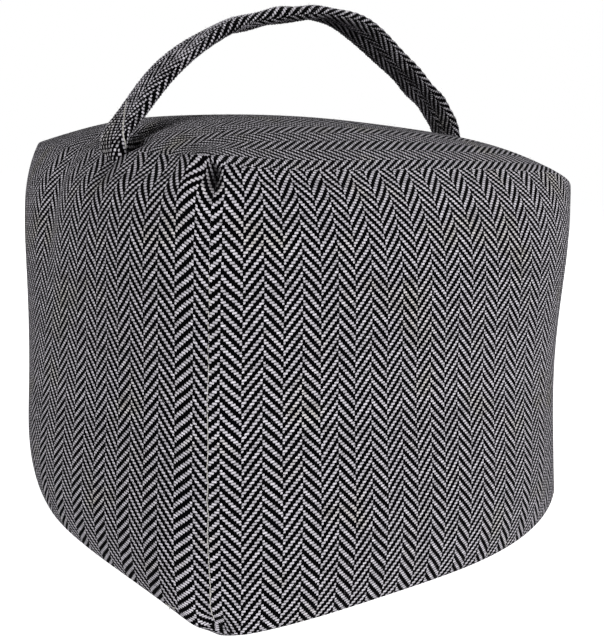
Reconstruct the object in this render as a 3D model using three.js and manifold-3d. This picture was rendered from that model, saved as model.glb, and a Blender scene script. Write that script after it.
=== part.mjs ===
// Fabric cube doorstop: a filled cube sewn from six square cloth panels, with a folded cloth strap whose
// two ends are caught in the left and right top seams.
// Millimetres, +Z up. X runs to the right along the front panel, Y runs to the back, and the origin is on
// the floor under the middle of the cube.
import * as THREE from "three";
import { mergeVertices } from "three/addons/utils/BufferGeometryUtils.js";
import Module from "manifold-3d";

const wasm = await Module();
wasm.setup();

// Driving sizes.
const cubeSide = 180; // between neighbouring corners of the top panel
const topSeamHeight = 150; // floor to the corners of the top panel
const baseSeamLift = 2; // floor to the seam round the base panel
const panelCells = 18; // mesh cells along each side of a panel
const edgeCrowding = 0.35; // 0 spaces the cells evenly, more packs them towards the seams
const cornerBlunting = 3; // how far each corner is drawn back along X, Y and Z
const bluntingFalloff = 8; // the higher, the nearer to the corner the blunting stays
const strapWidth = 17;
const strapThickness = 4.5;
const strapEdgeShare = 0.5; // how thick the band is at its two folded edges, as a share of the middle
const strapEdgePower = 6; // the higher, the nearer to the edge the band starts to thin
const strapSteps = 72;
const strapCells = 6; // mesh cells across the band
const seatClearance = 0.3; // left all round each strap end where the cube is cut for it
const nearlyOne = 0.9999; // a coordinate of the unit cube past this lies on that side

// Each corner of the cube: which one it is, and how far the filling has pushed it.
const corners = [
  { x: -1, y: -1, z: -1, dx: -4, dy: 2, dz: 3 },
  { x: 1, y: -1, z: -1, dx: -4, dy: -9, dz: 0 },
  { x: 1, y: 1, z: -1, dx: 0, dy: 0, dz: 0 },
  { x: -1, y: 1, z: -1, dx: 12, dy: -9, dz: 0 },
  { x: -1, y: -1, z: 1, dx: 6, dy: 22, dz: -5 },
  { x: 1, y: -1, z: 1, dx: 0, dy: 10, dz: -5 },
  { x: 1, y: 1, z: 1, dx: -4, dy: -6, dz: 0 },
  { x: -1, y: 1, z: 1, dx: -5, dy: -9, dz: 1 },
];

// Each seam runs along the axis whose column is 0, and its middle is moved by dx, dy, dz: most seams of
// the base bow outwards, and the upright ones are drawn in. lean shifts the bow towards the seam's
// positive end, and tilt raises the half of the seam at that end and lowers the other.
const seams = [
  { x: 0, y: -1, z: 1, dx: 0, dy: 5, dz: 1, lean: -2.3, tilt: 10 },
  { x: 1, y: 0, z: 1, dx: -4, dy: 0, dz: 2, lean: 0, tilt: 0 },
  { x: 0, y: 1, z: 1, dx: 0, dy: -4, dz: 2, lean: 0, tilt: 0 },
  { x: -1, y: 0, z: 1, dx: -5, dy: 0, dz: -2, lean: 0.8, tilt: 1 },
  { x: 0, y: -1, z: -1, dx: 0, dy: -9, dz: 0, lean: 0.6, tilt: 0 },
  { x: 1, y: 0, z: -1, dx: 10, dy: 0, dz: 0, lean: 0, tilt: 0 },
  { x: 0, y: 1, z: -1, dx: 0, dy: 10, dz: 0, lean: 0, tilt: 0 },
  { x: -1, y: 0, z: -1, dx: -25, dy: 0, dz: 0, lean: 0.9, tilt: 0 },
  { x: -1, y: -1, z: 0, dx: 4, dy: 7, dz: 0, lean: 0, tilt: 0 },
  { x: 1, y: -1, z: 0, dx: 4, dy: 11, dz: 0, lean: -0.2, tilt: 0 },
  { x: 1, y: 1, z: 0, dx: -3, dy: -4, dz: 0, lean: 0, tilt: 0 },
  { x: -1, y: 1, z: 0, dx: 1, dy: -7, dz: 0, lean: 0, tilt: 0 },
];

// Each panel's crown above its seams, how square the crown is (2 is a dome, more is flatter on top), and
// by what share an upright panel's crown is higher towards the top.
const panels = [
  { x: 0, y: -1, z: 0, crown: 13, square: 4, rise: 0.25 },
  { x: 1, y: 0, z: 0, crown: 10, square: 4, rise: 0.25 },
  { x: 0, y: 1, z: 0, crown: 11, square: 4, rise: 0.25 },
  { x: -1, y: 0, z: 0, crown: 10, square: 5.5, rise: 0.25 },
  { x: 0, y: 0, z: 1, crown: 16, square: 4, rise: 0 },
];

// The middle line of the strap, from the end inside the left seam to the end inside the right one.
const strapPath = [
  { x: -89, y: -13, z: 134 },
  { x: -91, y: -13, z: 146 },
  { x: -84, y: -12, z: 158 },
  { x: -70, y: -12, z: 174 },
  { x: -52, y: -12, z: 188 },
  { x: -30, y: -12, z: 199 },
  { x: -6, y: -12, z: 205 },
  { x: 17, y: -11, z: 203 },
  { x: 40, y: -11, z: 194 },
  { x: 60, y: -11, z: 183 },
  { x: 74, y: -11, z: 174 },
  { x: 82, y: -11, z: 163 },
  { x: 85, y: -10, z: 150 },
  { x: 84, y: -10, z: 138 },
];

const cloth = { color: 0x6b6b6c, roughness: 0.95, metalness: 0 };

// A closed geometry whose shared vertices are merged, with every vertex moved by the function given.
function reshape(geometry, move) {
  geometry.deleteAttribute("normal");
  geometry.deleteAttribute("uv");
  const merged = mergeVertices(geometry, 1e-4);
  const position = merged.getAttribute("position");
  const point = new THREE.Vector3();
  for (let i = 0; i < position.count; i++) {
    point.fromBufferAttribute(position, i);
    move(point);
    position.setXYZ(i, point.x, point.y, point.z);
  }
  return merged;
}

function toSolid(geometry) {
  return new wasm.Manifold(
    new wasm.Mesh({
      numProp: 3,
      vertProperties: new Float32Array(geometry.getAttribute("position").array),
      triVerts: new Uint32Array(geometry.index.array),
    }),
  );
}

function toGeometry(solid) {
  const mesh = solid.getMesh();
  const geometry = new THREE.BufferGeometry();
  geometry.setAttribute("position", new THREE.BufferAttribute(mesh.vertProperties, 3));
  geometry.setIndex(new THREE.BufferAttribute(mesh.triVerts, 1));
  geometry.computeVertexNormals();
  return geometry;
}

// How much of a corner's, seam's or panel's own move reaches a point of the unit cube.
function reach(place, point) {
  let share = 1;
  for (const axis of ["x", "y", "z"]) if (place[axis]) share *= (1 + place[axis] * point[axis]) / 2;
  return share;
}

function alongSeam(seam, point) {
  if (!seam.x) return point.x;
  return seam.y ? point.z : point.y;
}

function crownHeight(panel, point) {
  let share = 1;
  for (const axis of ["x", "y", "z"]) if (!panel[axis]) share *= 1 - Math.abs(point[axis]) ** panel.square;
  return share * panel.crown * (1 + panel.rise * point.z * (1 - Math.abs(panel.z)));
}

function isOnPanel(panel, point) {
  return panel.x * point.x + panel.y * point.y + panel.z * point.z > nearlyOne;
}

// Packs the evenly spaced cells of the unit cube towards its edges.
function crowd(t) {
  return (1 - edgeCrowding) * t + edgeCrowding * Math.sin((t * Math.PI) / 2);
}

// The unit cube's point becomes the point of the filled cube's surface.
function fillCube(point) {
  for (const axis of ["x", "y", "z"]) point[axis] = crowd(point[axis]);
  const moved = new THREE.Vector3();
  for (const corner of corners) {
    const share = reach(corner, point);
    const z = corner.z > 0 ? topSeamHeight : baseSeamLift;
    moved.x += share * ((corner.x * cubeSide) / 2 + corner.dx);
    moved.y += share * ((corner.y * cubeSide) / 2 + corner.dy);
    moved.z += share * (z + corner.dz);
    const blunting = share ** bluntingFalloff * cornerBlunting;
    moved.x -= corner.x * blunting;
    moved.y -= corner.y * blunting;
    moved.z -= corner.z * blunting;
  }
  for (const seam of seams) {
    const along = alongSeam(seam, point);
    const share = reach(seam, point) * (1 - along ** 2);
    const bow = share * (1 + seam.lean * along);
    moved.x += bow * seam.dx;
    moved.y += bow * seam.dy;
    moved.z += bow * seam.dz + share * along * seam.tilt;
  }
  for (const panel of panels) {
    if (!isOnPanel(panel, point)) continue;
    const out = crownHeight(panel, point);
    moved.x += panel.x * out;
    moved.y += panel.y * out;
    moved.z += panel.z * out;
  }
  // The base panel lies flat on the floor inside its outermost ring of cells.
  const innerLine = crowd(1 - 2 / panelCells) / nearlyOne;
  const isBase = point.z < -nearlyOne;
  if (isBase && Math.max(Math.abs(point.x), Math.abs(point.y)) < innerLine) moved.z = 0;
  point.copy(moved);
}

function makeCube() {
  const box = new THREE.BoxGeometry(2, 2, 2, panelCells, panelCells, panelCells);
  return toSolid(reshape(box, fillCube));
}

// A band swept along the strap's middle line, with its two long edges rounded. grow widens it all round,
// which gives the seat cut in the cube.
function makeStrap(grow) {
  const curve = new THREE.CatmullRomCurve3(strapPath.map((row) => new THREE.Vector3(row.x, row.y, row.z)));
  const across = new THREE.Vector3(0, 1, 0);
  const band = new THREE.BoxGeometry(2, 2, 2, strapSteps, strapCells, 1);
  const geometry = reshape(band, (point) => {
    const share = (point.x + 1) / 2;
    const middle = curve.getPointAt(share);
    const tangent = curve.getTangentAt(share);
    const outwards = new THREE.Vector3().crossVectors(tangent, across).normalize();
    const thinning = Math.sqrt(1 - (1 - strapEdgeShare ** 2) * point.y ** strapEdgePower);
    const isEnd = Math.abs(point.x) > nearlyOne;
    middle.addScaledVector(across, point.y * (strapWidth / 2 + grow));
    middle.addScaledVector(outwards, point.z * thinning * (strapThickness / 2 + grow));
    if (isEnd) middle.addScaledVector(tangent, point.x * grow);
    point.copy(middle);
  });
  return toSolid(geometry);
}

function addPart(group, name, solid) {
  const mesh = new THREE.Mesh(toGeometry(solid), new THREE.MeshStandardMaterial(cloth));
  mesh.name = name;
  group.add(mesh);
}

const strap = makeStrap(0);
const seats = makeStrap(seatClearance);
const cube = makeCube().subtract(seats);

const doorstop = new THREE.Group();
addPart(doorstop, "filled_cube", cube);
addPart(doorstop, "handle_strap", strap);

export default doorstop;
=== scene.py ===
import math

import bmesh
import bpy
import numpy as np
from mathutils import Matrix, Vector


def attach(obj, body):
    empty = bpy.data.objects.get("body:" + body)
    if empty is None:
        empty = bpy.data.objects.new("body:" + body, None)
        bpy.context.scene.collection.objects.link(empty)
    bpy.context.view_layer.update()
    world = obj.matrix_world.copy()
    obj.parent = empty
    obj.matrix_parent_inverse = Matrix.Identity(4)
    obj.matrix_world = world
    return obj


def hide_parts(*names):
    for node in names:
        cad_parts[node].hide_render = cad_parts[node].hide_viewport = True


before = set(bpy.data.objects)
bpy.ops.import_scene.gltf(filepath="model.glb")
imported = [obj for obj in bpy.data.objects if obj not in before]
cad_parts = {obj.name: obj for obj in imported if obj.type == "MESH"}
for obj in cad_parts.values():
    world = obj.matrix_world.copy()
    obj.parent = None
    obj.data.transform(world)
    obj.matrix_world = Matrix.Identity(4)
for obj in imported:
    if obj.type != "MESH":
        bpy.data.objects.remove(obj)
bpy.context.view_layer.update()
mm = 0.001
nearlyOne = 0.9999  # a coordinate of the unit cube past this lies on that side
print("frame loaded")


# small helpers used by every piece


def linearColour(hexColour):
    channels = [int(hexColour[k:k + 2], 16) / 255 for k in (1, 3, 5)]
    return [c / 12.92 if c <= 0.04045 else ((c + 0.055) / 1.055) ** 2.4 for c in channels] + [1.0]


def addNode(tree, kind, inputs=None, **settings):
    node = tree.nodes.new(kind)
    for name, value in settings.items():
        setattr(node, name, value)
    for socket, value in (inputs or {}).items():
        if isinstance(value, bpy.types.Node):
            value = value.outputs[0]
        if isinstance(value, bpy.types.NodeSocket):
            tree.links.new(value, node.inputs[socket])
        else:
            node.inputs[socket].default_value = value
    return node


def newMaterial(name):
    material = bpy.data.materials.new(name)
    material.use_nodes = True
    material.node_tree.nodes.clear()
    return material


def finishPiece(name, bm, material):
    mesh = bpy.data.meshes.new(name)
    bm.to_mesh(mesh)
    bm.free()
    mesh.shade_smooth()
    mesh.materials.append(material)
    piece = bpy.data.objects.new(name, mesh)
    bpy.context.scene.collection.objects.link(piece)
    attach(piece, "root")
    return piece


def lengthAlong(line):
    # how far each point of a line lies from its start, measured along it
    return np.concatenate([[0], np.cumsum(np.linalg.norm(np.diff(line, axis=0), axis=1))])


def toUnit(vectors):
    return vectors / np.linalg.norm(vectors, axis=1)[:, None]


# camera, floor and lights

cameraSettings = {
    "place": (-0.152, -0.2002, 0.1381),
    "turn": -37.59,  # degrees about the upright axis, 0 looks along +Y
    "tilt": -14.22,  # below the horizon
    "roll": 3.28,
    "lens": 30.17,  # mm
    "sensorHeight": 36,  # mm
    "nearest": 0.01,  # m, nothing closer is drawn
}


def addCamera():
    data = bpy.data.cameras.new("camera")
    data.sensor_fit = "VERTICAL"
    data.sensor_height = cameraSettings["sensorHeight"]
    data.lens = cameraSettings["lens"]
    data.clip_start = cameraSettings["nearest"]
    camera = bpy.data.objects.new("camera", data)
    turn = Matrix.Rotation(math.radians(cameraSettings["turn"]), 4, "Z")
    tilt = Matrix.Rotation(math.radians(90 + cameraSettings["tilt"]), 4, "X")
    roll = Matrix.Rotation(math.radians(cameraSettings["roll"]), 4, "Z")
    camera.matrix_world = Matrix.Translation(cameraSettings["place"]) @ turn @ tilt @ roll
    bpy.context.scene.collection.objects.link(camera)
    bpy.context.scene.camera = camera


studio = {
    "floorColour": "#fbfbfb",
    "floorGlow": 0.93,  # lifts the floor to the white of a lit sweep
    "floorSize": 12,  # m from its middle to each side
    "ambient": 0.08,  # how brightly the white walls light the cloth
    "aim": (0, 0, 0.08),  # every softbox faces this point
    # name: place, watts, width across in m
    "softboxes": {
        "keyBox": ((0.42, -2.05, 0.5), 34.5, 0.8),
        "sideBox": ((-1.83, -0.97, 0.4), 32, 0.8),
        "backBox": ((1.5, 1.9, 0.15), 110, 1.0),
    },
}


def addFloor():
    # matt white paper under studio lights: a plain white ground with no horizon
    material = newMaterial("whitePaperSweep")
    tree = material.node_tree
    paper = addNode(tree, "ShaderNodeBsdfPrincipled", {
        "Base Color": linearColour(studio["floorColour"]),
        "Roughness": 0.9,
        "Emission Color": (1, 1, 1, 1),
        "Emission Strength": studio["floorGlow"],
    })
    addNode(tree, "ShaderNodeOutputMaterial", {"Surface": paper})
    bm = bmesh.new()
    bmesh.ops.create_grid(bm, x_segments=1, y_segments=1, size=studio["floorSize"])
    mesh = bpy.data.meshes.new("floor")
    bm.to_mesh(mesh)
    bm.free()
    mesh.materials.append(material)
    floor = bpy.data.objects.new("floor", mesh)
    floor.visible_diffuse = False
    bpy.context.scene.collection.objects.link(floor)


def addRoom():
    # the walls look white, but light the cloth only faintly, so that the softboxes shape it
    world = bpy.data.worlds.new("studioRoom")
    bpy.context.scene.world = world
    world.use_nodes = True
    tree = world.node_tree
    tree.nodes.clear()
    seen = addNode(tree, "ShaderNodeLightPath").outputs["Is Camera Ray"]
    wall = addNode(tree, "ShaderNodeBackground", {"Color": (1, 1, 1, 1), "Strength": 1.0})
    room = addNode(tree, "ShaderNodeBackground", {"Color": (1, 1, 1, 1), "Strength": studio["ambient"]})
    both = addNode(tree, "ShaderNodeMixShader", {0: seen, 1: room, 2: wall})
    addNode(tree, "ShaderNodeOutputWorld", {"Surface": both})


def addSoftboxes():
    for name, (place, watts, width) in studio["softboxes"].items():
        data = bpy.data.lights.new(name, "AREA")
        data.shape = "SQUARE"
        data.size = width
        data.energy = watts
        box = bpy.data.objects.new(name, data)
        aim = Vector(studio["aim"]) - Vector(place)
        box.matrix_world = Matrix.Translation(place) @ aim.to_track_quat("-Z", "Y").to_matrix().to_4x4()
        bpy.context.scene.collection.objects.link(box)


addCamera()
addFloor()
addRoom()
addSoftboxes()
bpy.context.scene.view_settings.view_transform = "Standard"
print("camera, floor and lights placed")


# the cloth: coarse wool and cotton herringbone, black warp and white weft

weave = {
    "endPitch": 0.78 * mm,  # one black warp thread to the next
    "pickPitch": 0.875 * mm,  # one white weft thread to the next
    "columnEnds": 8,  # warp threads in one column, before the twill turns back
    "drift": 0.9 * mm,  # how far the threads stray from straight
    "driftSize": 14 * mm,  # over what length they do
    "slant": 0.1,  # how far the ends of a float lean along the twill, in float lengths
    "tipRounding": 5.0,  # how square a thread is towards the ends of its float, higher is squarer
    "sideRounding": 2.5,  # and towards its two sides
    "ragged": 0.4,  # how uneven the outline of a float is, for the wool's loose fibres
    "raggedSize": 1.1 * mm,
    "warpHeight": 0.5,  # how high the thin black threads stand, against the thick white ones
    "bumpDepth": 0.35 * mm,
    "black": "#050506",
    "white": "#d8d4dc",
    "yellowed": "#d3cdb7",
    "yellowedSize": 22 * mm,
    "yellowedFrom": (0.55, 0.8),  # where in the noise a patch starts, and where it is at its strongest
    "yellowedShare": 0.7,  # how yellow it is there
    "floatWeight": 1.6,  # how much a float's own tone counts, against 1 for its pick's
    "lightest": 1.1,  # tone of the lightest thread
    "fibreSize": 0.6 * mm,
    "fibreTone": (0.74, 1.08),  # tone between and on the fibres of one thread
}

# where on a thread's rounding the white starts and is full, and the tone of the darkest thread; the
# strap's folds pull its threads apart, so that more black shows
clothStates = {
    "herringboneCloth": {"gap": (0.12, 0.76), "darkest": 0.58},
    "foldedHerringboneCloth": {"gap": (0.26, 0.94), "darkest": 0.35},
}


def layThreads(tree):
    # which end (warp) and pick (weft) a point is on, counted from the panel's edge, and where across them
    uv = addNode(tree, "ShaderNodeUVMap", uv_map="weave")
    drift = addNode(tree, "ShaderNodeTexNoise", {"Vector": uv, "Scale": 1 / weave["driftSize"],
                                                 "Detail": 2.0})
    centred = addNode(tree, "ShaderNodeVectorMath", {0: drift.outputs["Color"], 1: (0.5, 0.5, 0.5)},
                      operation="SUBTRACT")
    wander = addNode(tree, "ShaderNodeVectorMath", {0: centred, "Scale": weave["drift"]}, operation="SCALE")
    place = addNode(tree, "ShaderNodeVectorMath", {0: uv, 1: wander}, operation="ADD")
    axes = addNode(tree, "ShaderNodeSeparateXYZ", {0: place})
    ends = addNode(tree, "ShaderNodeMath", {0: axes.outputs[0], 1: weave["endPitch"]}, operation="DIVIDE")
    picks = addNode(tree, "ShaderNodeMath", {0: axes.outputs[1], 1: weave["pickPitch"]}, operation="DIVIDE")
    return {
        "uv": uv,
        "place": place,
        "end": addNode(tree, "ShaderNodeMath", {0: ends}, operation="FLOOR"),
        "pick": addNode(tree, "ShaderNodeMath", {0: picks}, operation="FLOOR"),
        "endPart": addNode(tree, "ShaderNodeMath", {0: ends}, operation="FRACT"),
        "pickPart": addNode(tree, "ShaderNodeMath", {0: picks}, operation="FRACT"),
    }


def crossThreads(tree, at):
    # which of the four steps of the twill a crossing is: weft on top for 0 and 1, warp for 2 and 3
    columnEnds = weave["columnEnds"]
    inPair = addNode(tree, "ShaderNodeMath", {0: at["end"], 1: 2.0 * columnEnds},
                     operation="FLOORED_MODULO")
    falls = addNode(tree, "ShaderNodeMath", {0: inPair, 1: columnEnds - 0.5}, operation="GREATER_THAN")
    upSum = addNode(tree, "ShaderNodeMath", {0: at["pick"], 1: at["end"]}, operation="SUBTRACT")
    upStep = addNode(tree, "ShaderNodeMath", {0: upSum, 1: 4.0}, operation="FLOORED_MODULO")
    downSum = addNode(tree, "ShaderNodeMath", {0: at["pick"], 1: at["end"]}, operation="ADD")
    downShift = addNode(tree, "ShaderNodeMath", {0: downSum, 1: 3.0}, operation="ADD")
    downStep = addNode(tree, "ShaderNodeMath", {0: downShift, 1: 4.0}, operation="FLOORED_MODULO")
    at["falls"] = falls
    at["step"] = addNode(tree, "ShaderNodeMix", {"Factor": falls, "A": upStep, "B": downStep})
    at["isWeft"] = addNode(tree, "ShaderNodeMath", {0: at["step"], 1: 1.5}, operation="LESS_THAN")


def placeOnFloat(tree, at):
    # where along its float a point lies, 0 to 1; a white float cut by the turn is one thread long
    columnEnds = weave["columnEnds"]
    inColumn = addNode(tree, "ShaderNodeMath", {0: at["end"], 1: float(columnEnds)},
                       operation="FLOORED_MODULO")
    rises = addNode(tree, "ShaderNodeMath", {0: 1.0, 1: at["falls"]}, operation="SUBTRACT")
    halfSum = addNode(tree, "ShaderNodeMath", {0: at["step"], 1: rises}, operation="SUBTRACT")
    half = addNode(tree, "ShaderNodeMath", {0: halfSum}, operation="ABSOLUTE")
    cutEnd = addNode(tree, "ShaderNodeMath", {0: half, 1: 1.0 - columnEnds, 2: columnEnds - 1.0},
                     operation="MULTIPLY_ADD")
    isCut = addNode(tree, "ShaderNodeMath", {0: inColumn, 1: cutEnd, 2: 0.5}, operation="COMPARE")
    longSum = addNode(tree, "ShaderNodeMath", {0: at["endPart"], 1: half}, operation="ADD")
    longPlace = addNode(tree, "ShaderNodeMath", {0: longSum, 1: 0.5}, operation="MULTIPLY")
    weftPlace = addNode(tree, "ShaderNodeMix", {"Factor": isCut, "A": longPlace, "B": at["endPart"]})
    warpSum = addNode(tree, "ShaderNodeMath", {0: at["pickPart"], 1: at["step"]}, operation="ADD")
    warpPlace = addNode(tree, "ShaderNodeMath", {0: warpSum, 1: 0.5, 2: -1.0}, operation="MULTIPLY_ADD")

    # the ends of the white floats are cut on the slant, along the twill
    slantWay = addNode(tree, "ShaderNodeMath", {0: at["falls"], 1: 2.0 * weave["slant"],
                                                2: -weave["slant"]}, operation="MULTIPLY_ADD")
    fromMiddle = addNode(tree, "ShaderNodeMath", {0: at["pickPart"], 1: 0.5}, operation="SUBTRACT")
    slant = addNode(tree, "ShaderNodeMath", {0: fromMiddle, 1: slantWay}, operation="MULTIPLY")
    slantPlace = addNode(tree, "ShaderNodeMath", {0: weftPlace, 1: slant}, operation="ADD")
    at["half"] = half
    at["along"] = addNode(tree, "ShaderNodeMix", {"Factor": at["isWeft"], "A": warpPlace, "B": slantPlace})
    at["across"] = addNode(tree, "ShaderNodeMix", {"Factor": at["isWeft"], "A": at["endPart"],
                                                   "B": at["pickPart"]})


def threadDome(tree, at):
    # 1 on the crest of a thread and 0 where it dives under the next one
    rounding = []
    for value, power in ((at["along"], weave["tipRounding"]), (at["across"], weave["sideRounding"])):
        wide = addNode(tree, "ShaderNodeMath", {0: value, 1: 2.0, 2: -1.0}, operation="MULTIPLY_ADD")
        size = addNode(tree, "ShaderNodeMath", {0: wide}, operation="ABSOLUTE")
        fall = addNode(tree, "ShaderNodeMath", {0: size, 1: power}, operation="POWER")
        rounding.append(addNode(tree, "ShaderNodeMath", {0: 1.0, 1: fall}, operation="SUBTRACT",
                                use_clamp=True))
    return addNode(tree, "ShaderNodeMath", {0: rounding[0], 1: rounding[1]}, operation="MULTIPLY")


def threadHeight(tree, at, dome):
    rounded = addNode(tree, "ShaderNodeMath", {0: dome, 1: 0.5}, operation="POWER")
    standing = addNode(tree, "ShaderNodeMix", {"Factor": at["isWeft"], "A": weave["warpHeight"], "B": 1.0})
    return addNode(tree, "ShaderNodeMath", {0: rounded, 1: standing}, operation="MULTIPLY")


def whiteYarn(tree, at, darkest):
    # each pick and each float is a little lighter or darker, with faint yellowed patches
    pickTone = addNode(tree, "ShaderNodeTexWhiteNoise", {"W": at["pick"]}, noise_dimensions="1D")
    floatStart = addNode(tree, "ShaderNodeMath", {0: at["end"], 1: at["half"]}, operation="SUBTRACT")
    floatId = addNode(tree, "ShaderNodeCombineXYZ", {0: floatStart, 1: at["pick"]})
    floatTone = addNode(tree, "ShaderNodeTexWhiteNoise", {"Vector": floatId}, noise_dimensions="2D")
    bothTones = addNode(tree, "ShaderNodeMath", {0: floatTone.outputs["Value"], 1: weave["floatWeight"],
                                                 2: pickTone.outputs["Value"]}, operation="MULTIPLY_ADD")
    tone = addNode(tree, "ShaderNodeMapRange", {"Value": bothTones, 2: weave["floatWeight"] + 1, 3: darkest,
                                                4: weave["lightest"]})
    fibres = addNode(tree, "ShaderNodeTexNoise", {"Vector": at["place"], "Scale": 1 / weave["fibreSize"],
                                                  "Detail": 2.0})
    # noise mostly lies between 0.3 and 0.7
    fibreTone = addNode(tree, "ShaderNodeMapRange", {"Value": fibres, 1: 0.3, 2: 0.7,
                                                     3: weave["fibreTone"][0], 4: weave["fibreTone"][1]})
    patches = addNode(tree, "ShaderNodeTexNoise", {"Vector": at["uv"], "Scale": 1 / weave["yellowedSize"],
                                                   "Detail": 3.0})
    yellowing = addNode(tree, "ShaderNodeMapRange", {"Value": patches, 1: weave["yellowedFrom"][0],
                                                     2: weave["yellowedFrom"][1], 3: 0.0,
                                                     4: weave["yellowedShare"]})
    white = addNode(tree, "ShaderNodeMix", {"Factor": yellowing, 6: linearColour(weave["white"]),
                                            7: linearColour(weave["yellowed"])}, data_type="RGBA")
    whiteTone = addNode(tree, "ShaderNodeMath", {0: tone, 1: fibreTone}, operation="MULTIPLY")
    return addNode(tree, "ShaderNodeVectorMath", {0: white.outputs[2], "Scale": whiteTone},
                   operation="SCALE")


def whiteShare(tree, at, dome, gap):
    # how much of the white yarn shows, with the ragged outline that loose fibres give it
    slubs = addNode(tree, "ShaderNodeTexNoise", {"Vector": at["place"], "Scale": 1 / weave["raggedSize"],
                                                 "Detail": 1.0})
    ragged = addNode(tree, "ShaderNodeMath", {0: slubs, 1: weave["ragged"], 2: -0.5 * weave["ragged"]},
                     operation="MULTIPLY_ADD")
    raggedDome = addNode(tree, "ShaderNodeMath", {0: dome, 1: ragged}, operation="ADD")
    shown = addNode(tree, "ShaderNodeMapRange", {"Value": raggedDome, 1: gap[0], 2: gap[1], 3: 0.0, 4: 1.0},
                    interpolation_type="SMOOTHSTEP")
    return addNode(tree, "ShaderNodeMath", {0: shown, 1: at["isWeft"]}, operation="MULTIPLY")


def herringboneCloth(name):
    # 2/2 herringbone: the eye reads white dashes two threads long that step up or down in columns, on
    # matt black threads, with soft valleys between the threads
    state = clothStates[name]
    material = newMaterial(name)
    tree = material.node_tree
    at = layThreads(tree)
    crossThreads(tree, at)
    placeOnFloat(tree, at)
    dome = threadDome(tree, at)
    black = linearColour(weave["black"])
    threads = addNode(tree, "ShaderNodeMix", {"Factor": whiteShare(tree, at, dome, state["gap"]), 6: black,
                                              7: whiteYarn(tree, at, state["darkest"])}, data_type="RGBA")
    # painted shade: the threads are painted towards black deep in a pinched seam, in the dips beside the
    # strap's foot and on the hidden side of the strap's right leg, where little light gets in
    paintedShade = addNode(tree, "ShaderNodeAttribute", attribute_name="paintedShade")
    cloth = addNode(tree, "ShaderNodeMix", {"Factor": paintedShade.outputs["Fac"], 6: threads.outputs[2],
                                            7: black}, data_type="RGBA")
    relief = addNode(tree, "ShaderNodeBump", {"Strength": 1.0, "Distance": weave["bumpDepth"],
                                              "Height": threadHeight(tree, at, dome)})
    surface = addNode(tree, "ShaderNodeBsdfPrincipled", {
        "Base Color": cloth.outputs[2],
        "Roughness": 0.95,
        "Specular IOR Level": 0.0,
        "Sheen Weight": 0.03,
        "Sheen Roughness": 0.4,
        "Normal": relief,
    })
    addNode(tree, "ShaderNodeOutputMaterial", {"Surface": surface})
    return material


clothMaterial = herringboneCloth("herringboneCloth")
strapMaterial = herringboneCloth("foldedHerringboneCloth")
print("cloth materials made")


# the filled cube's cover

cover = {
    "side": 180 * mm,  # between neighbouring corners of the top panel
    "topSeam": 150 * mm,  # floor to the corners of the top panel
    "baseSeam": 2 * mm,  # floor to the seam round the base panel
    "cells": 112,  # mesh cells along each side of a panel
    "crowding": 0.35,  # 0 spaces the cells evenly, more packs them towards the seams
    "blunting": 3 * mm,  # how far each corner is drawn back along X, Y and Z
    "bluntingFalloff": 8,  # the higher, the nearer to the corner the blunting stays
    "baseRim": 0.076,  # how far in from its seam the base reaches the floor, in half sides
    "seamRounding": 3,  # smoothing passes over the cloth beside the seams
    "seamReach": 0.06,  # how far from a seam they reach, in half sides
    "skewWidth": 4.4 * mm,  # how wide the column beside a seam is that lies askew
    # painted shade: how dark the threads are painted in a crease, by its fold, and at most
    "creaseShade": {"cornerPinch": 1.15, "strapDip": 1.3, "strapCrease": 0.5},
    "darkestCrease": 0.95,
}

# which corner of the cube, then how many mm the filling has pushed it
cubeCorners = [
    (-1, -1, -1, -4, 2, 3), (1, -1, -1, -4, -9, 0), (1, 1, -1, 0, 0, 0), (-1, 1, -1, 12, -9, 0),
    (-1, -1, 1, 6, 22, -5), (1, -1, 1, 0, 10, -5), (1, 1, 1, -4, -6, 0), (-1, 1, 1, -5, -9, 1),
]

# which seam (0 is the way it runs), how many mm its middle is moved, then by what share that bow leans
# to the seam's positive end, and how many mm that end's half is raised
cubeSeams = [
    (0, -1, 1, 0, 5, 1, -2.3, 10), (1, 0, 1, -4, 0, 2, 0, 0), (0, 1, 1, 0, -4, 2, 0, 0),
    (-1, 0, 1, -5, 0, -2, 0.8, 1), (0, -1, -1, 0, -9, 0, 0.6, 0), (1, 0, -1, 10, 0, 0, 0, 0),
    (0, 1, -1, 0, 10, 0, 0, 0), (-1, 0, -1, -25, 0, 0, 0.9, 0), (-1, -1, 0, 4, 7, 0, 0, 0),
    (1, -1, 0, 4, 11, 0, -0.2, 0), (1, 1, 0, -3, -4, 0, 0, 0), (-1, 1, 0, 1, -7, 0, 0, 0),
]

# which panel, its crown in mm, how square the crown is, and how much higher it is towards the top
cubePanels = [
    (0, -1, 0, 13, 4, 0.25), (1, 0, 0, 10, 4, 0.25), (0, 1, 0, 11, 4, 0.25), (-1, 0, 0, 10, 5.5, 0.25),
    (0, 0, 1, 16, 4, 0),
]

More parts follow.
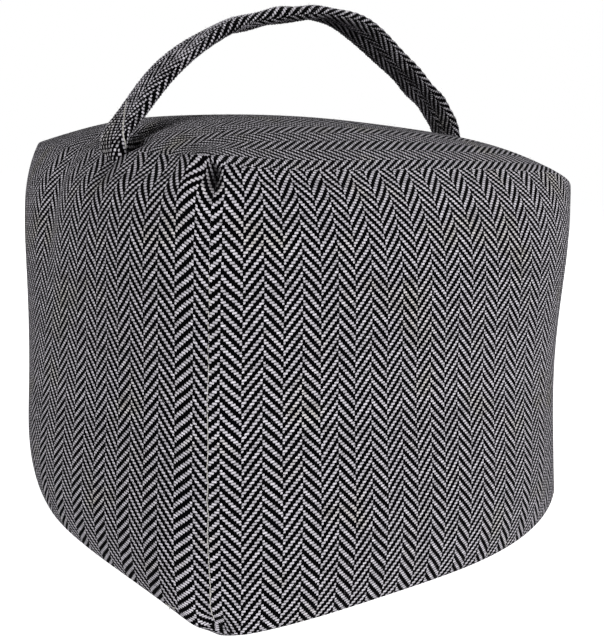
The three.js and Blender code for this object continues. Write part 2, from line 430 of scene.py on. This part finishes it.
# soft bulges and dips of the cloth: the middle of each on the cube (half sides), how far it reaches
# along x, y and z, then how many mm the cloth is moved there
clothFolds = {
    "earFrontRight": ((1, -1, 1), (0.3, 0.3, 0.25), (-1.5, -0.5, 2.6)),
    "earBackLeft": ((-1, 1, 1), (0.3, 0.3, 0.25), (-2.5, 0, 1.4)),
    "crownLeft": ((-0.2, -0.15, 1), (0.55, 0.5, 0.3), (0, 0, 1.3)),
    "crownDip": ((0.35, -0.6, 1), (0.35, 0.4, 0.3), (0, 0, -2.2)),
    "strapPull": ((-1, 0.1, 0.75), (0.3, 0.1, 0.35), (2.5, 0, 0)),
    "nearFoot": ((-1, -1, -1), (0.12, 0.12, 0.5), (4, 5, -7)),
    "nearFootTip": ((-1, -1, -1), (0.06, 0.06, 0.1), (2.5, 3, 2.5)),
    "frontBelly": ((-0.65, -1, -1), (0.25, 0.4, 0.5), (0, -0.5, 0)),
    "frontBase": ((0.3, -1, -1), (0.5, 0.4, 0.5), (0, -1.6, 0)),
    "leftBase": ((-1, 0.85, -0.7), (0.3, 0.3, 0.3), (-2.5, 1, 0)),
    "cornerPinch": ((-1, -1, 0.96), (0.023, 0.03, 0.09), (3.5, 4, -1.5)),
    "cornerOverhang": ((-1, -0.88, 0.95), (0.2, 0.08, 0.12), (-1.5, -4, 1.5)),
    "frontRoll": ((-0.3, -0.95, 1), (0.9, 0.04, 0.3), (0, -0.2, 0.5)),
    "strapDip": ((-0.95, -0.34, 1), (0.05, 0.07, 0.2), (1, 0, -3.5)),
    "strapCrease": ((-0.85, -0.14, 1), (0.09, 0.14, 0.2), (0, 0, -3.2)),
}

# panel (axis, side): the axis across the weave's columns, the axis along them, where the weave starts in
# mm across and along, how far its rows drop over one mm across, and how much more they rise in the
# column beside the first seam, most at that seam's start and not at its end
weaveLay = {
    (1, -1): (0, 2, 2.9, 0.0, 0.0, 0.0),
    (0, -1): (1, 2, 1.3, 0.36, 0.097, 0.0),
    (0, 1): (1, 2, 1.0, 0.0, -0.05, 0.0),
    (1, 1): (0, 2, 2.0, 0.0, 0.03, 0.0),
    (2, 1): (1, 0, 1.8, 0.0, -0.4, 0.45),
    (2, -1): (1, 0, 3.0, 0.0, 0.0, 0.0),
}


def crowd(t):
    return (1 - cover["crowding"]) * t + cover["crowding"] * np.sin(t * math.pi / 2)


def reach(place, p):
    # how much of a corner's, seam's or panel's own move reaches a point of the unit cube
    share = np.ones(len(p))
    for axis in range(3):
        if place[axis]:
            share *= (1 + place[axis] * p[:, axis]) / 2
    return share


def foldShare(name, p):
    middle, reaches, _ = clothFolds[name]
    return np.exp(-(((p - np.array(middle)) / np.array(reaches)) ** 2).sum(axis=1))


def moveCorners(p, moved):
    for row in cubeCorners:
        share = reach(row, p)
        blunting = np.clip(share, 0, 1) ** cover["bluntingFalloff"] * cover["blunting"]
        seamZ = cover["topSeam"] if row[2] > 0 else cover["baseSeam"]
        home = (row[0] * cover["side"] / 2, row[1] * cover["side"] / 2, seamZ)
        for axis in range(3):
            moved[:, axis] += share * (home[axis] + row[3 + axis] * mm) - row[axis] * blunting


def moveSeams(p, moved):
    for row in cubeSeams:
        alongSeam = p[:, [axis for axis in range(3) if not row[axis]][0]]
        share = reach(row, p) * (1 - alongSeam ** 2)
        for axis in range(3):
            moved[:, axis] += share * (1 + row[6] * alongSeam) * row[3 + axis] * mm
        moved[:, 2] += share * alongSeam * row[7] * mm


def crownPanels(p, moved):
    for row in cubePanels:
        axis = [k for k in range(3) if row[k]][0]
        onPanel = row[axis] * p[:, axis] > nearlyOne
        share = np.ones(len(p))
        for k in range(3):
            if k != axis:
                share *= 1 - np.abs(p[:, k]) ** row[4]
        if axis != 2:
            share *= 1 + row[5] * p[:, 2]
        moved[:, axis] += np.where(onPanel, share * row[axis] * row[3] * mm, 0)


def fillCube(p):
    moved = np.zeros(p.shape)
    moveCorners(p, moved)
    moveSeams(p, moved)
    crownPanels(p, moved)
    for name, (_, _, push) in clothFolds.items():
        moved += foldShare(name, p)[:, None] * np.array(push) * mm
    # the base lies flat on the floor, inside a rim that rises to its seam
    isBase = p[:, 2] < -nearlyOne
    inside = np.clip((1 - np.max(np.abs(p[:, :2]), axis=1)) / cover["baseRim"], 0, 1)
    moved[:, 2] *= np.where(isBase, 1 - inside, 1)
    moved[:, 2] = np.maximum(moved[:, 2], 0)
    return moved


def gridIndex(unit):
    return np.rint((unit + 1) / 2 * cover["cells"]).astype(int)


def panelGrid(unit, axis, side, acrossAxis, alongAxis):
    # the numbers of a panel's vertices, laid out in rows
    cells = cover["cells"]
    index = gridIndex(unit)
    onPanel = np.nonzero(index[:, axis] == (cells if side > 0 else 0))[0]
    grid = np.zeros((cells + 1, cells + 1), int)
    grid[index[onPanel, acrossAxis], index[onPanel, alongAxis]] = onPanel
    return grid


def clothLength(ground, way):
    # how far a panel's points lie along the cloth, evened out so that its far seam is at one length
    steps = np.linalg.norm(np.diff(ground, axis=way), axis=2)
    start = np.zeros_like(np.take(steps, [0], axis=way))
    length = np.concatenate([start, np.cumsum(steps, axis=way)], axis=way)
    whole = np.take(length, [-1], axis=way)
    return length * (whole.mean() / whole)


def layWeave(mesh, unit, places):
    # the weave follows each panel's own cloth, in metres from its first seam
    loopVerts = np.zeros(len(mesh.loops), int)
    mesh.loops.foreach_get("vertex_index", loopVerts)
    middles = unit[loopVerts].reshape(-1, 4, 3).mean(axis=1)
    facePanel = np.argmax(np.abs(middles), axis=1)
    faceSide = np.sign(middles[np.arange(len(middles)), facePanel]).astype(int)
    index = gridIndex(unit)[loopVerts]
    uv = np.zeros((len(loopVerts), 2))
    for (axis, side), (acrossAxis, alongAxis, acrossStart, alongStart, drop, skew) in weaveLay.items():
        ground = places[panelGrid(unit, axis, side, acrossAxis, alongAxis)]
        across = clothLength(ground, 0)
        along = clothLength(ground, 1)
        toEnd = 1 - along / along[:, -1:]
        lean = drop * across - skew * toEnd * np.minimum(across, cover["skewWidth"])
        here = np.repeat((facePanel == axis) & (faceSide == side), 4)
        at = (index[here, acrossAxis], index[here, alongAxis])
        uv[here, 0] = across[at] + acrossStart * mm
        uv[here, 1] = along[at] + alongStart * mm + lean[at]
    layer = mesh.uv_layers.new(name="weave")
    layer.uv.foreach_set("vector", uv.ravel())


def makeCover():
    bm = bmesh.new()
    bmesh.ops.create_cube(bm, size=2)
    bmesh.ops.subdivide_edges(bm, edges=bm.edges[:], cuts=cover["cells"] - 1, use_grid_fill=True)
    unit = np.array([v.co for v in bm.verts])
    for vertex, place in zip(bm.verts, fillCube(crowd(unit))):
        vertex.co = place
    toSeam = 1 - np.sort(np.abs(crowd(unit)), axis=1)[:, 1]  # from the nearest seam, in half sides
    bm.verts.ensure_lookup_table()
    besideSeams = [bm.verts[k] for k in np.nonzero(toSeam < cover["seamReach"])[0]]
    for _ in range(cover["seamRounding"]):
        bmesh.ops.smooth_vert(bm, verts=besideSeams, factor=0.5,
                              use_axis_x=True, use_axis_y=True, use_axis_z=True)
    places = np.array([v.co for v in bm.verts])
    piece = finishPiece("cubeCover", bm, clothMaterial)
    layWeave(piece.data, unit, places)
    # painted shade: the threads are painted darker deep in the creases of these folds
    shade = sum(dark * foldShare(name, crowd(unit)) for name, dark in cover["creaseShade"].items())
    paintedShade = piece.data.attributes.new("paintedShade", "FLOAT", "POINT")
    paintedShade.data.foreach_set("value", np.clip(shade, 0, cover["darkestCrease"]))
    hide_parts("filled_cube")
    return piece, unit, places


coverPiece, coverUnit, coverPlaces = makeCover()
print("cube cover made:", len(coverPiece.data.polygons), "faces")


# the folded strap

strap = {
    "width": 16 * mm,
    "thickness": 3.9 * mm,
    "edgePower": 5.0,  # higher makes the band flatter, with tighter folded edges
    "rows": 900,  # mesh cells along the band
    "around": 104,  # and round it
    "outlineSteps": 4000,  # points that its outline is first drawn with
    "stepsPerKnot": 40,  # the same for its middle line
    "yarnRelief": 0.45 * mm,
    "yarnTip": 2.6,  # how square a thread is towards the ends of its float, higher is squarer
    "warpRelief": 0.5,  # how much lower still the black threads lie in the relief
    "joinCells": 2,  # cells beside the join on the inner face, over which the relief fades out
    "turnAt": 0.75,  # the near folded edge, in turns from the middle of the inner face
    "narrowed": 0.74,  # the cloth was pulled long and narrow when the strap was folded and sewn
    "stretched": 1.22,
    # painted shade: the share by which the hidden side of the right leg is painted darker
    "innerShade": 0.55,  # how dark the hidden side of the right leg is
    "shadeFrom": 0.5,  # where that shade starts along the band, in shares of its length
    "shadeRamp": 0.15,  # and over what share it deepens
    "waver": 0.5 * mm,  # how uneven the fold is along the band
    "waverLengths": (5.3 * mm, 13 * mm, 9 * mm),  # of its waves, their drift, and their turn round the band
    # a pale thread drawn out of the fold: from where it starts to where it ends, along the band in
    # shares of its length and round it in turns
    "drawnThread": ((0.05, 0.8), (0.12, 0.4)),
    "drawnLift": 0.1 * mm,
}

# mm, from the end inside the left seam to the end inside the right one, then its twist in degrees and
# how far two columns of the weave meet from the near fold, in mm towards the outer face
strapPath = [
    (-89, -13, 134, 0, -3.4), (-91, -13, 146, -3, -3.4), (-84, -12, 158, -6, -3.4),
    (-70, -12, 174.6, -8, -3.2), (-52, -12, 189.2, -2, -2.4), (-30, -12, 198, 1, -1.2),
    (-6, -12, 204.6, -9, -1), (17, -11, 202.6, 8, -1.2), (40, -11, 193.4, 5, -1.8),
    (60, -11, 183, 5.5, -2.2), (74, -11, 174, 3, -2.3), (82, -11, 163, 0, -2.3),
    (85, -10, 150, 0, -2.3), (84, -10, 138, 0, -2.3),
]


def smoothLine(knots, steps):
    # a smooth curve through the knots, evenly spaced by length
    knots = np.array(knots, float)
    gaps = np.linalg.norm(np.diff(knots[:, :3], axis=0), axis=1) ** 0.5
    times = np.concatenate([[0], np.cumsum(gaps)])
    slopes = np.gradient(knots, times, axis=0)
    fine = np.linspace(0, times[-1], strap["stepsPerKnot"] * len(knots))
    part = np.clip(np.searchsorted(times, fine, side="right") - 1, 0, len(gaps) - 1)
    t = ((fine - times[part]) / gaps[part])[:, None]
    span = gaps[part][:, None]
    line = ((2 * t ** 3 - 3 * t ** 2 + 1) * knots[part] + (t ** 3 - 2 * t ** 2 + t) * span * slopes[part]
            + (3 * t ** 2 - 2 * t ** 3) * knots[part + 1] + (t ** 3 - t ** 2) * span * slopes[part + 1])
    length = lengthAlong(line[:, :3])
    even = np.linspace(0, length[-1], steps + 1)
    return np.stack([np.interp(even, length, line[:, k]) for k in range(line.shape[1])], axis=1), length[-1]


def bandOutline(count):
    # the closed outline of the folded band, evenly spaced, from the middle of its inner face, and which
    # way it faces there
    angle = np.linspace(-math.pi / 2, 1.5 * math.pi, strap["outlineSteps"] + 1)
    c, s = np.cos(angle), np.sin(angle)
    x = np.sign(c) * np.abs(c) ** (2 / strap["edgePower"]) * strap["width"] / 2
    y = s * strap["thickness"] / 2
    length = lengthAlong(np.stack([x, y], axis=1))
    even = np.linspace(0, length[-1], count + 1)
    outline = np.stack([np.interp(even, length, x), np.interp(even, length, y)], axis=1)
    turn = np.arange(count + 1)
    onwards = outline[(turn + 1) % count] - outline[(turn - 1) % count]
    facing = toUnit(np.stack([onwards[:, 1], -onwards[:, 0]], axis=1))
    return outline, facing, length[-1]


def yarnHeight(u, v):
    # the same weave as the material's, as the height of its threads from 0 to 1
    columnEnds = weave["columnEnds"]
    ends, picks = u / weave["endPitch"], v / weave["pickPitch"]
    end, pick = np.floor(ends), np.floor(picks)
    falls = np.mod(end, 2 * columnEnds) >= columnEnds
    step = np.where(falls, np.mod(pick + end + 3, 4), np.mod(pick - end, 4))
    isWeft = step < 1.5
    half = np.abs(step - np.where(falls, 0, 1))
    isCut = np.mod(end, columnEnds) == np.where(half == 0, columnEnds - 1, 0)
    weftPlace = np.where(isCut, ends - end, (ends - end + half) / 2)
    along = np.where(isWeft, weftPlace, (picks - pick + step) / 2 - 1)
    across = np.where(isWeft, picks - pick, ends - end)
    tips = np.clip(1 - np.abs(2 * along - 1) ** strap["yarnTip"], 0, 1)
    rounded = tips * np.clip(1 - (2 * across - 1) ** 2, 0, 1)
    return np.sqrt(rounded) * np.where(isWeft, 1, strap["warpRelief"] * weave["warpHeight"])


def bandDirections(middle, twist):
    # across the band and out of its upper face, all along it
    tangent = toUnit(np.gradient(middle, axis=0))
    side = toUnit(np.cross(tangent, np.cross(np.array([0, 1.0, 0]), tangent)))
    out = np.cross(tangent, side)
    turned, level = np.sin(twist)[:, None], np.cos(twist)[:, None]
    return side * level - out * turned, out * level + side * turned


def drawnThreadLine(places, middle, index):
    # a thread that lies on the band, slantwise over it
    rows, around = strap["rows"], strap["around"]
    grid = np.zeros((rows + 1, around + 1), int)
    grid[index[:, 0], index[:, 1]] = np.arange(len(index))
    (rowStart, turnStart), (rowEnd, turnEnd) = strap["drawnThread"]
    lineRows = np.arange(round(rowStart * rows), round(rowEnd * rows))
    lineTurns = np.rint(np.linspace(turnStart, turnEnd, len(lineRows)) * around).astype(int)
    line = places[grid[lineRows, lineTurns]]
    return line + toUnit(line - middle[lineRows]) * strap["drawnLift"]


def foldWaver(v, girthAngle):
    # the fold was never pressed even, so its faces swell and dip along the band
    wave, waveDrift, waveTurn = strap["waverLengths"]
    waver = np.sin(v / wave + 2 * np.sin(v / waveDrift)) * np.cos(girthAngle + v / waveTurn)
    return waver * strap["waver"]


def legShade(share, girthAngle):
    # painted shade: the side of the right leg that faces the crown is painted darker, as little light
    # reaches it
    toInner = np.cos(girthAngle) * 0.5 + 0.5
    deepening = np.clip((share - strap["shadeFrom"]) / strap["shadeRamp"], 0, 1)
    return strap["innerShade"] * toInner * deepening


def makeStrap():
    rows, around = strap["rows"], strap["around"]
    line, length = smoothLine(strapPath, rows)
    length *= mm
    middle, twist, wander = line[:, :3] * mm, np.radians(line[:, 3]), line[:, 4] * mm
    side, out = bandDirections(middle, twist)
    outline, facing, girth = bandOutline(around)

    bm = bmesh.new()
    bmesh.ops.create_grid(bm, x_segments=rows, y_segments=around, size=0.5)
    index = np.array([[round((v.co.x + 0.5) * rows), round((v.co.y + 0.5) * around)] for v in bm.verts])
    row, turn = index[:, 0], index[:, 1]
    u = ((turn / around - strap["turnAt"]) * girth + wander[row]) / strap["narrowed"]
    v = row / rows * length / strap["stretched"]
    girthAngle = turn / around * 2 * math.pi
    joinFade = np.clip(np.minimum(turn, around - turn) / strap["joinCells"], 0, 1)
    relief = yarnHeight(u, v) * joinFade * strap["yarnRelief"] + foldWaver(v, girthAngle)
    flat = outline[turn] + facing[turn] * relief[:, None]
    places = middle[row] + side[row] * flat[:, :1] + out[row] * flat[:, 1:]

    uvLayer = bm.loops.layers.uv.new("weave")
    # painted shade on the hidden side of the right leg, kept in the same attribute as the cover's creases
    paintedShade = bm.verts.layers.float.new("paintedShade")
    for vertex, place, dark in zip(bm.verts, places, legShade(row / rows, girthAngle)):
        vertex.co = place
        vertex[paintedShade] = dark
    bm.verts.index_update()
    for face in bm.faces:
        for loop in face.loops:
            k = loop.vert.index
            loop[uvLayer].uv = (u[k], v[k])
    bmesh.ops.remove_doubles(bm, verts=bm.verts[:], dist=1e-6)
    bmesh.ops.holes_fill(bm, edges=[e for e in bm.edges if e.is_boundary], sides=0)
    bmesh.ops.recalc_face_normals(bm, faces=bm.faces[:])
    piece = finishPiece("handleStrap", bm, strapMaterial)
    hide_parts("handle_strap")
    return piece, drawnThreadLine(places, middle, index)


strapPiece, drawnLine = makeStrap()
print("handle strap made:", len(strapPiece.data.polygons), "faces")


# the sewing thread that surfaces in the near upright seam, its loose ends, and the strap's thread

thread = {
    "thickness": 0.27 * mm,
    "bottom": -0.93,  # where it comes out of the seam, in half heights
    "top": 0.55,
    "steps": 700,  # points along it
    "proud": 0.26 * mm,  # how far out of the seam it lies near the bottom
    "sunk": -0.25 * mm,  # and at the top
    "sinksFrom": 0.375,  # where it starts to sink, in shares of its height
    "stitch": 3.1 * mm,
    "stitchRise": 0.2 * mm,  # how much each stitch rises and dips
    "stitchDrift": 11 * mm,  # over what length the stitches get longer and shorter
    "sway": 0.16 * mm,  # how far it strays to the left and right
    "swayLength": 2.3 * mm,
    "swayDrift": 7 * mm,
    "outOfSeam": (-0.75, -0.66, 0),
    "acrossSeam": (0.66, -0.75, 0),
    "knot": (-0.71, 0.008, 1.6),  # its place and half length, in half heights, and how much thicker it is
    "colour": "#cac8c4",
    "shadedColour": "#8a867e",
    "unevenSize": 0.5 * mm,  # the size of its paler and darker stretches
    # loose ends: where on the cube (half sides), which way they point, mm long
    "looseEnds": [
        ((-1, -0.74, -0.94), (-0.6, -0.5, 0.8), 2.4), ((-1, -0.7, -0.96), (-0.8, 0.5, 0.5), 1.8),
        ((-1, -0.7, -0.97), (-0.7, -0.9, 0.3), 1.5), ((0.17, -1, -0.95), (0.2, -0.9, 0.5), 1.4),
        ((-1, -1, -0.7), (0.6, -0.8, 0.3), 1.2),
    ],
    "looseSteps": 9,
    "looseBend": (0.2, 0.3, -0.35),
    "looseRadius": 1.3,  # against the sewn thread's
    "drawnRadius": 1.6,
}


def spunCotton(name):
    # polished cotton sewing thread: a pale, slightly uneven line, with the ply just showing
    material = newMaterial(name)
    tree = material.node_tree
    place = addNode(tree, "ShaderNodeTexCoord").outputs["Object"]
    uneven = addNode(tree, "ShaderNodeTexNoise", {"Vector": place, "Scale": 1 / thread["unevenSize"],
                                                  "Detail": 2.0})
    share = addNode(tree, "ShaderNodeMapRange", {"Value": uneven, 1: 0.3, 2: 0.6, 3: 0.0, 4: 1.0})
    colour = addNode(tree, "ShaderNodeMix", {"Factor": share, 6: linearColour(thread["shadedColour"]),
                                             7: linearColour(thread["colour"])}, data_type="RGBA")
    surface = addNode(tree, "ShaderNodeBsdfPrincipled", {"Base Color": colour.outputs[2], "Roughness": 0.7,
                                                         "Specular IOR Level": 0.2})
    addNode(tree, "ShaderNodeOutputMaterial", {"Surface": surface})
    return material


def addSpline(curve, line, radius):
    spline = curve.splines.new("POLY")
    spline.points.add(len(line) - 1)
    spline.points.foreach_set("co", np.column_stack([line, np.ones(len(line))]).ravel())
    spline.points.foreach_set("radius", np.broadcast_to(radius, len(line)).astype(float))


def sewnLine():
    # the thread's way up the near upright seam, and its thickness there against the rest
    onSeam = np.nonzero((coverUnit[:, 0] < -nearlyOne) & (coverUnit[:, 1] < -nearlyOne))[0]
    onSeam = onSeam[np.argsort(coverUnit[onSeam, 2])]
    height = np.linspace(thread["bottom"], thread["top"], thread["steps"])
    line = np.stack([np.interp(height, coverUnit[onSeam, 2], coverPlaces[onSeam, k]) for k in range(3)],
                    axis=1)
    length = lengthAlong(line)
    rise = np.clip((height - thread["bottom"]) / (thread["top"] - thread["bottom"]), 0, 1)
    sinking = np.clip((rise - thread["sinksFrom"]) / (1 - thread["sinksFrom"]), 0, 1)
    lift = thread["proud"] + (thread["sunk"] - thread["proud"]) * sinking
    stitches = length / thread["stitch"] * 2 * math.pi + 2 * np.sin(length / thread["stitchDrift"])
    lift += thread["stitchRise"] * np.sin(stitches)
    sway = thread["sway"] * np.sin(length / thread["swayLength"] + 2 * np.sin(length / thread["swayDrift"]))
    line += lift[:, None] * np.array(thread["outOfSeam"]) + sway[:, None] * np.array(thread["acrossSeam"])
    knotPlace, knotSize, knotThicker = thread["knot"]
    return line, 1 + knotThicker * np.exp(-((height - knotPlace) / knotSize) ** 2)


def looseEnd(unitPlace, way, size):
    root = coverPlaces[np.argmin(((coverUnit - np.array(unitPlace)) ** 2).sum(axis=1))]
    along = np.linspace(0, 1, thread["looseSteps"])[:, None]
    bend = np.array(thread["looseBend"]) * along ** 2
    return root + (np.array(way) * along + bend) * size * mm


def makeThread():
    curve = bpy.data.curves.new("seamThread", "CURVE")
    curve.dimensions = "3D"
    curve.bevel_depth = thread["thickness"] / 2
    curve.bevel_resolution = 1
    curve.use_fill_caps = True
    addSpline(curve, *sewnLine())
    for unitPlace, way, size in thread["looseEnds"]:
        addSpline(curve, looseEnd(unitPlace, way, size), thread["looseRadius"])
    addSpline(curve, drawnLine, thread["drawnRadius"])
    curve.materials.append(spunCotton("spunCottonThread"))
    piece = bpy.data.objects.new("seamThread", curve)
    bpy.context.scene.collection.objects.link(piece)
    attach(piece, "root")


makeThread()
print("seam thread made")


# fuzz: short loose fibres that stand off the wool

fuzz = {
    "fibres": {"cubeCover": 5200, "handleStrap": 2600},
    "length": (0.8 * mm, 2.6 * mm),
    "shortest": 0.4,  # of that length, as some are broken off
    "thickness": 0.045 * mm,
    "taper": 0.3,  # how much smaller its radius is at the tip, in thicknesses
    "stand": (0.25, 1),  # 0 lies on the cloth and 1 stands upright
    "droop": 0.45,  # how much lower the tip hangs than a straight fibre's
    "curl": 0.8,
    "rooted": 0.1 * mm,  # how deep it starts in the cloth
    "clearance": 1.5 * mm,  # none grow nearer to the floor
    "sides": 3,
    "bends": 3,
    "mostlyDark": 1.5,  # higher makes fewer of them pale
    "dark": "#0a0a0b",
    "pale": "#c9c6cc",
    "seed": 11,
}


def woolFibre(name):
    # single wool fibres, most of them dark: a faint haze along the outline
    material = newMaterial(name)
    tree = material.node_tree
    tone = addNode(tree, "ShaderNodeAttribute", attribute_name="tone").outputs["Fac"]
    colour = addNode(tree, "ShaderNodeMix", {"Factor": tone, 6: linearColour(fuzz["dark"]),
                                             7: linearColour(fuzz["pale"])}, data_type="RGBA")
    surface = addNode(tree, "ShaderNodeBsdfPrincipled", {"Base Color": colour.outputs[2], "Roughness": 0.8,
                                                         "Specular IOR Level": 0.1})
    addNode(tree, "ShaderNodeOutputMaterial", {"Surface": surface})
    return material


def growFibres(dice, mesh, count):
    # the corners of every fibre, ring by ring from its root to its tip
    places = np.zeros(len(mesh.polygons) * 3)
    mesh.polygons.foreach_get("center", places)
    normals = np.zeros(len(mesh.polygons) * 3)
    mesh.polygons.foreach_get("normal", normals)
    areas = np.zeros(len(mesh.polygons))
    mesh.polygons.foreach_get("area", areas)
    places, normals = places.reshape(-1, 3), normals.reshape(-1, 3)
    areas[places[:, 2] < fuzz["clearance"]] = 0
    chosen = dice.choice(len(areas), count, p=areas / areas.sum())
    root, up = places[chosen], normals[chosen]
    lean = dice.normal(size=(count, 3))
    lean = toUnit(lean - (lean * up).sum(axis=1)[:, None] * up)
    beside = np.cross(up, lean)
    curl = beside * dice.uniform(-fuzz["curl"], fuzz["curl"], (count, 1))
    length = dice.uniform(*fuzz["length"], (count, 1)) * dice.uniform(fuzz["shortest"], 1, (count, 1))
    stand = dice.uniform(*fuzz["stand"], (count, 1))
    rings = []
    for step in range(fuzz["bends"] + 1):
        share = step / fuzz["bends"]
        rise = up * stand * (1 - fuzz["droop"] * share)
        run = lean * (1 - stand * 0.5)  # the more a fibre stands, the less it runs along the cloth
        centre = root + length * share * (rise + run + curl * share) - up * fuzz["rooted"]
        radius = fuzz["thickness"] * (0.5 - fuzz["taper"] * share)
        for corner in range(fuzz["sides"]):
            turn = corner * 2 * math.pi / fuzz["sides"]
            rings.append(centre + radius * (math.cos(turn) * up + math.sin(turn) * beside))
    return np.stack(rings, axis=1).reshape(-1, 3)


def makeFuzz(name, grown, material):
    # each fibre is a three-sided tapering hair of three bent lengths, all joined in one mesh
    dice = np.random.default_rng(fuzz["seed"])
    count, sides, bends = fuzz["fibres"][grown.name], fuzz["sides"], fuzz["bends"]
    corners = sides * (bends + 1)
    verts = growFibres(dice, grown.data, count)
    oneWall = [(k, (k + 1) % sides, sides + (k + 1) % sides, sides + k) for k in range(sides)]
    walls = [[sides * s + k for k in wall] for s in range(bends) for wall in oneWall]
    caps = [tuple(reversed(range(sides))), tuple(range(sides * bends, corners))]
    starts = corners * np.arange(count)[:, None, None]
    quads = (np.array(walls)[None] + starts).reshape(-1, 4)
    ends = (np.array(caps)[None] + starts).reshape(-1, sides)
    bm = bmesh.new()
    made = [bm.verts.new(v) for v in verts]
    for face in quads.tolist() + ends.tolist():
        bm.faces.new([made[k] for k in face])
    bmesh.ops.recalc_face_normals(bm, faces=bm.faces[:])
    piece = finishPiece(name, bm, material)
    tone = piece.data.attributes.new("tone", "FLOAT", "POINT")
    tone.data.foreach_set("value", np.repeat(dice.uniform(0, 1, count) ** fuzz["mostlyDark"], corners))


fibreMaterial = woolFibre("woolFibre")
makeFuzz("cubeFuzz", coverPiece, fibreMaterial)
makeFuzz("strapFuzz", strapPiece, fibreMaterial)
print("fuzz made")
